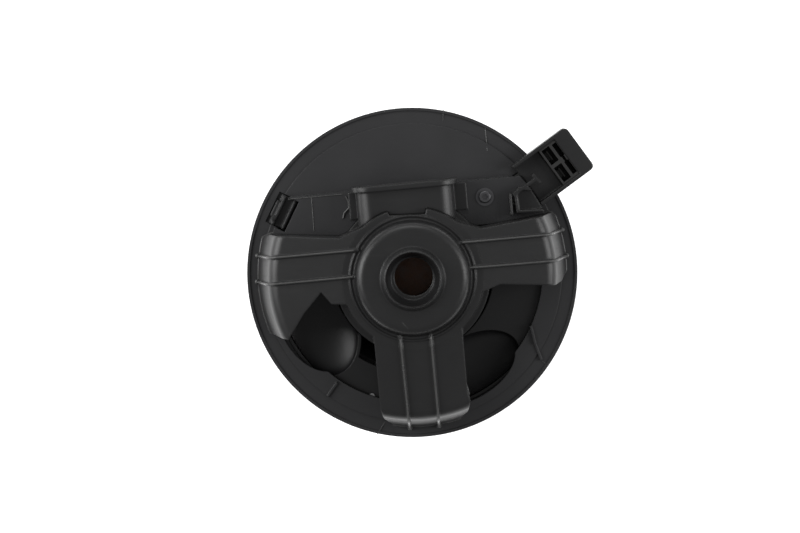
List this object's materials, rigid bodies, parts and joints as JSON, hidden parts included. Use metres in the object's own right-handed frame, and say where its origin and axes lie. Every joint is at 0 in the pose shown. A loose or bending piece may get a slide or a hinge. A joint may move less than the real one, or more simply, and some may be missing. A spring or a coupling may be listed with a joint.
{
  "type": "blower motor wheel",
  "caption": "Car heater blower: round mounting flange, three-armed motor cover with a dome, brush motor and squirrel-cage wheel.",
  "frame": {"origin": "on the spin axis, at the flange's seat, where the spigot starts", "axes": "+Z along the spin axis towards the dome, wheel below; +X and +Y lie in the flange, connector in the +X +Y quarter"},
  "size_m": [0.2081, 0.2, 0.1358],
  "materials": {
    "black_moulding": "satin black glass-filled plastic",
    "wheel_plastic": "satin black plastic",
    "connector_plastic": "dark grey plastic",
    "card_laminate": "brown laminate",
    "copper": "enamelled copper",
    "brass_strip": "rolled brass",
    "steel": "bright steel",
    "rusty_steel": "steel with a brown film of rust",
    "zinc_steel": "zinc plated",
    "core_steel": "stacked laminations",
    "ferrite": "sintered ferrite",
    "carbon": "carbon",
    "bronze": "sintered bronze",
    "black_rubber": "matt",
    "foam": "open cell foam"
  },
  "bodies": {
    "housing": {"motor_cover": "black_moulding", "mounting_flange": "black_moulding", "guide_plate": "black_moulding", "duct_box": "black_moulding", "duct_screw": "steel", "lead_bracket": "black_moulding", "connector_tongue": "black_moulding", "connector_housing": "connector_plastic", "terminal_blades": "brass_strip", "supply_bars": "brass_strip", "motor_cradle": "black_moulding", "plate_screws": "steel", "flange_seal": "foam", "upper_isolator": "black_rubber", "lower_isolator": "black_rubber", "motor_can": "rusty_steel", "motor_end_plate": "zinc_steel", "field_magnets": "ferrite", "magnet_clips": "steel", "brush_card": "card_laminate", "brush_guides": "brass_strip", "brush_spring_a": "steel", "brush_spring_b": "steel", "suppressor_chokes": "copper", "upper_bearing": "bronze", "lower_bearing": "bronze", "bearing_retainers": "steel"},
    "rotor": {"motor_shaft": "steel", "armature_core": "core_steel", "armature_windings": "copper", "commutator": "copper", "thrust_washers": "steel", "hub_bush": "bronze", "wheel_hub": "wheel_plastic", "wheel_blades": "wheel_plastic", "wheel_ring": "wheel_plastic", "wheel_clip": "steel", "balance_clips": "steel"},
    "brush_a": {"carbon_brush_a": "carbon"},
    "brush_b": {"carbon_brush_b": "carbon"},
    "latch": {"rim_latch": "black_moulding"}
  },
  "joints": [
    {"name": "wheel_spin", "type": "hinge", "parent": "housing", "child": "rotor", "pos_m": [0, 0, 0], "axis": [0, 0, 1], "continuous": true},
    {"name": "brush_a_slide", "type": "slide", "parent": "housing", "child": "brush_a", "axis": [1, 0, 0], "range_m": [0, 0.003], "stiffness_N_per_m": 120, "springref_m": -0.004, "deforming": ["brush_spring_a"]},
    {"name": "brush_b_slide", "type": "slide", "parent": "housing", "child": "brush_b", "axis": [-1, 0, 0], "range_m": [0, 0.003], "stiffness_N_per_m": 120, "springref_m": -0.004, "deforming": ["brush_spring_b"]},
    {"name": "latch_flex", "type": "hinge", "parent": "housing", "child": "latch", "pos_m": [-0.07266, 0.03466, 0.003], "axis": [0.4305, 0.9026, 0], "range_deg": [0, 6], "stiffness_Nm_per_rad": 0.6}
  ]
}
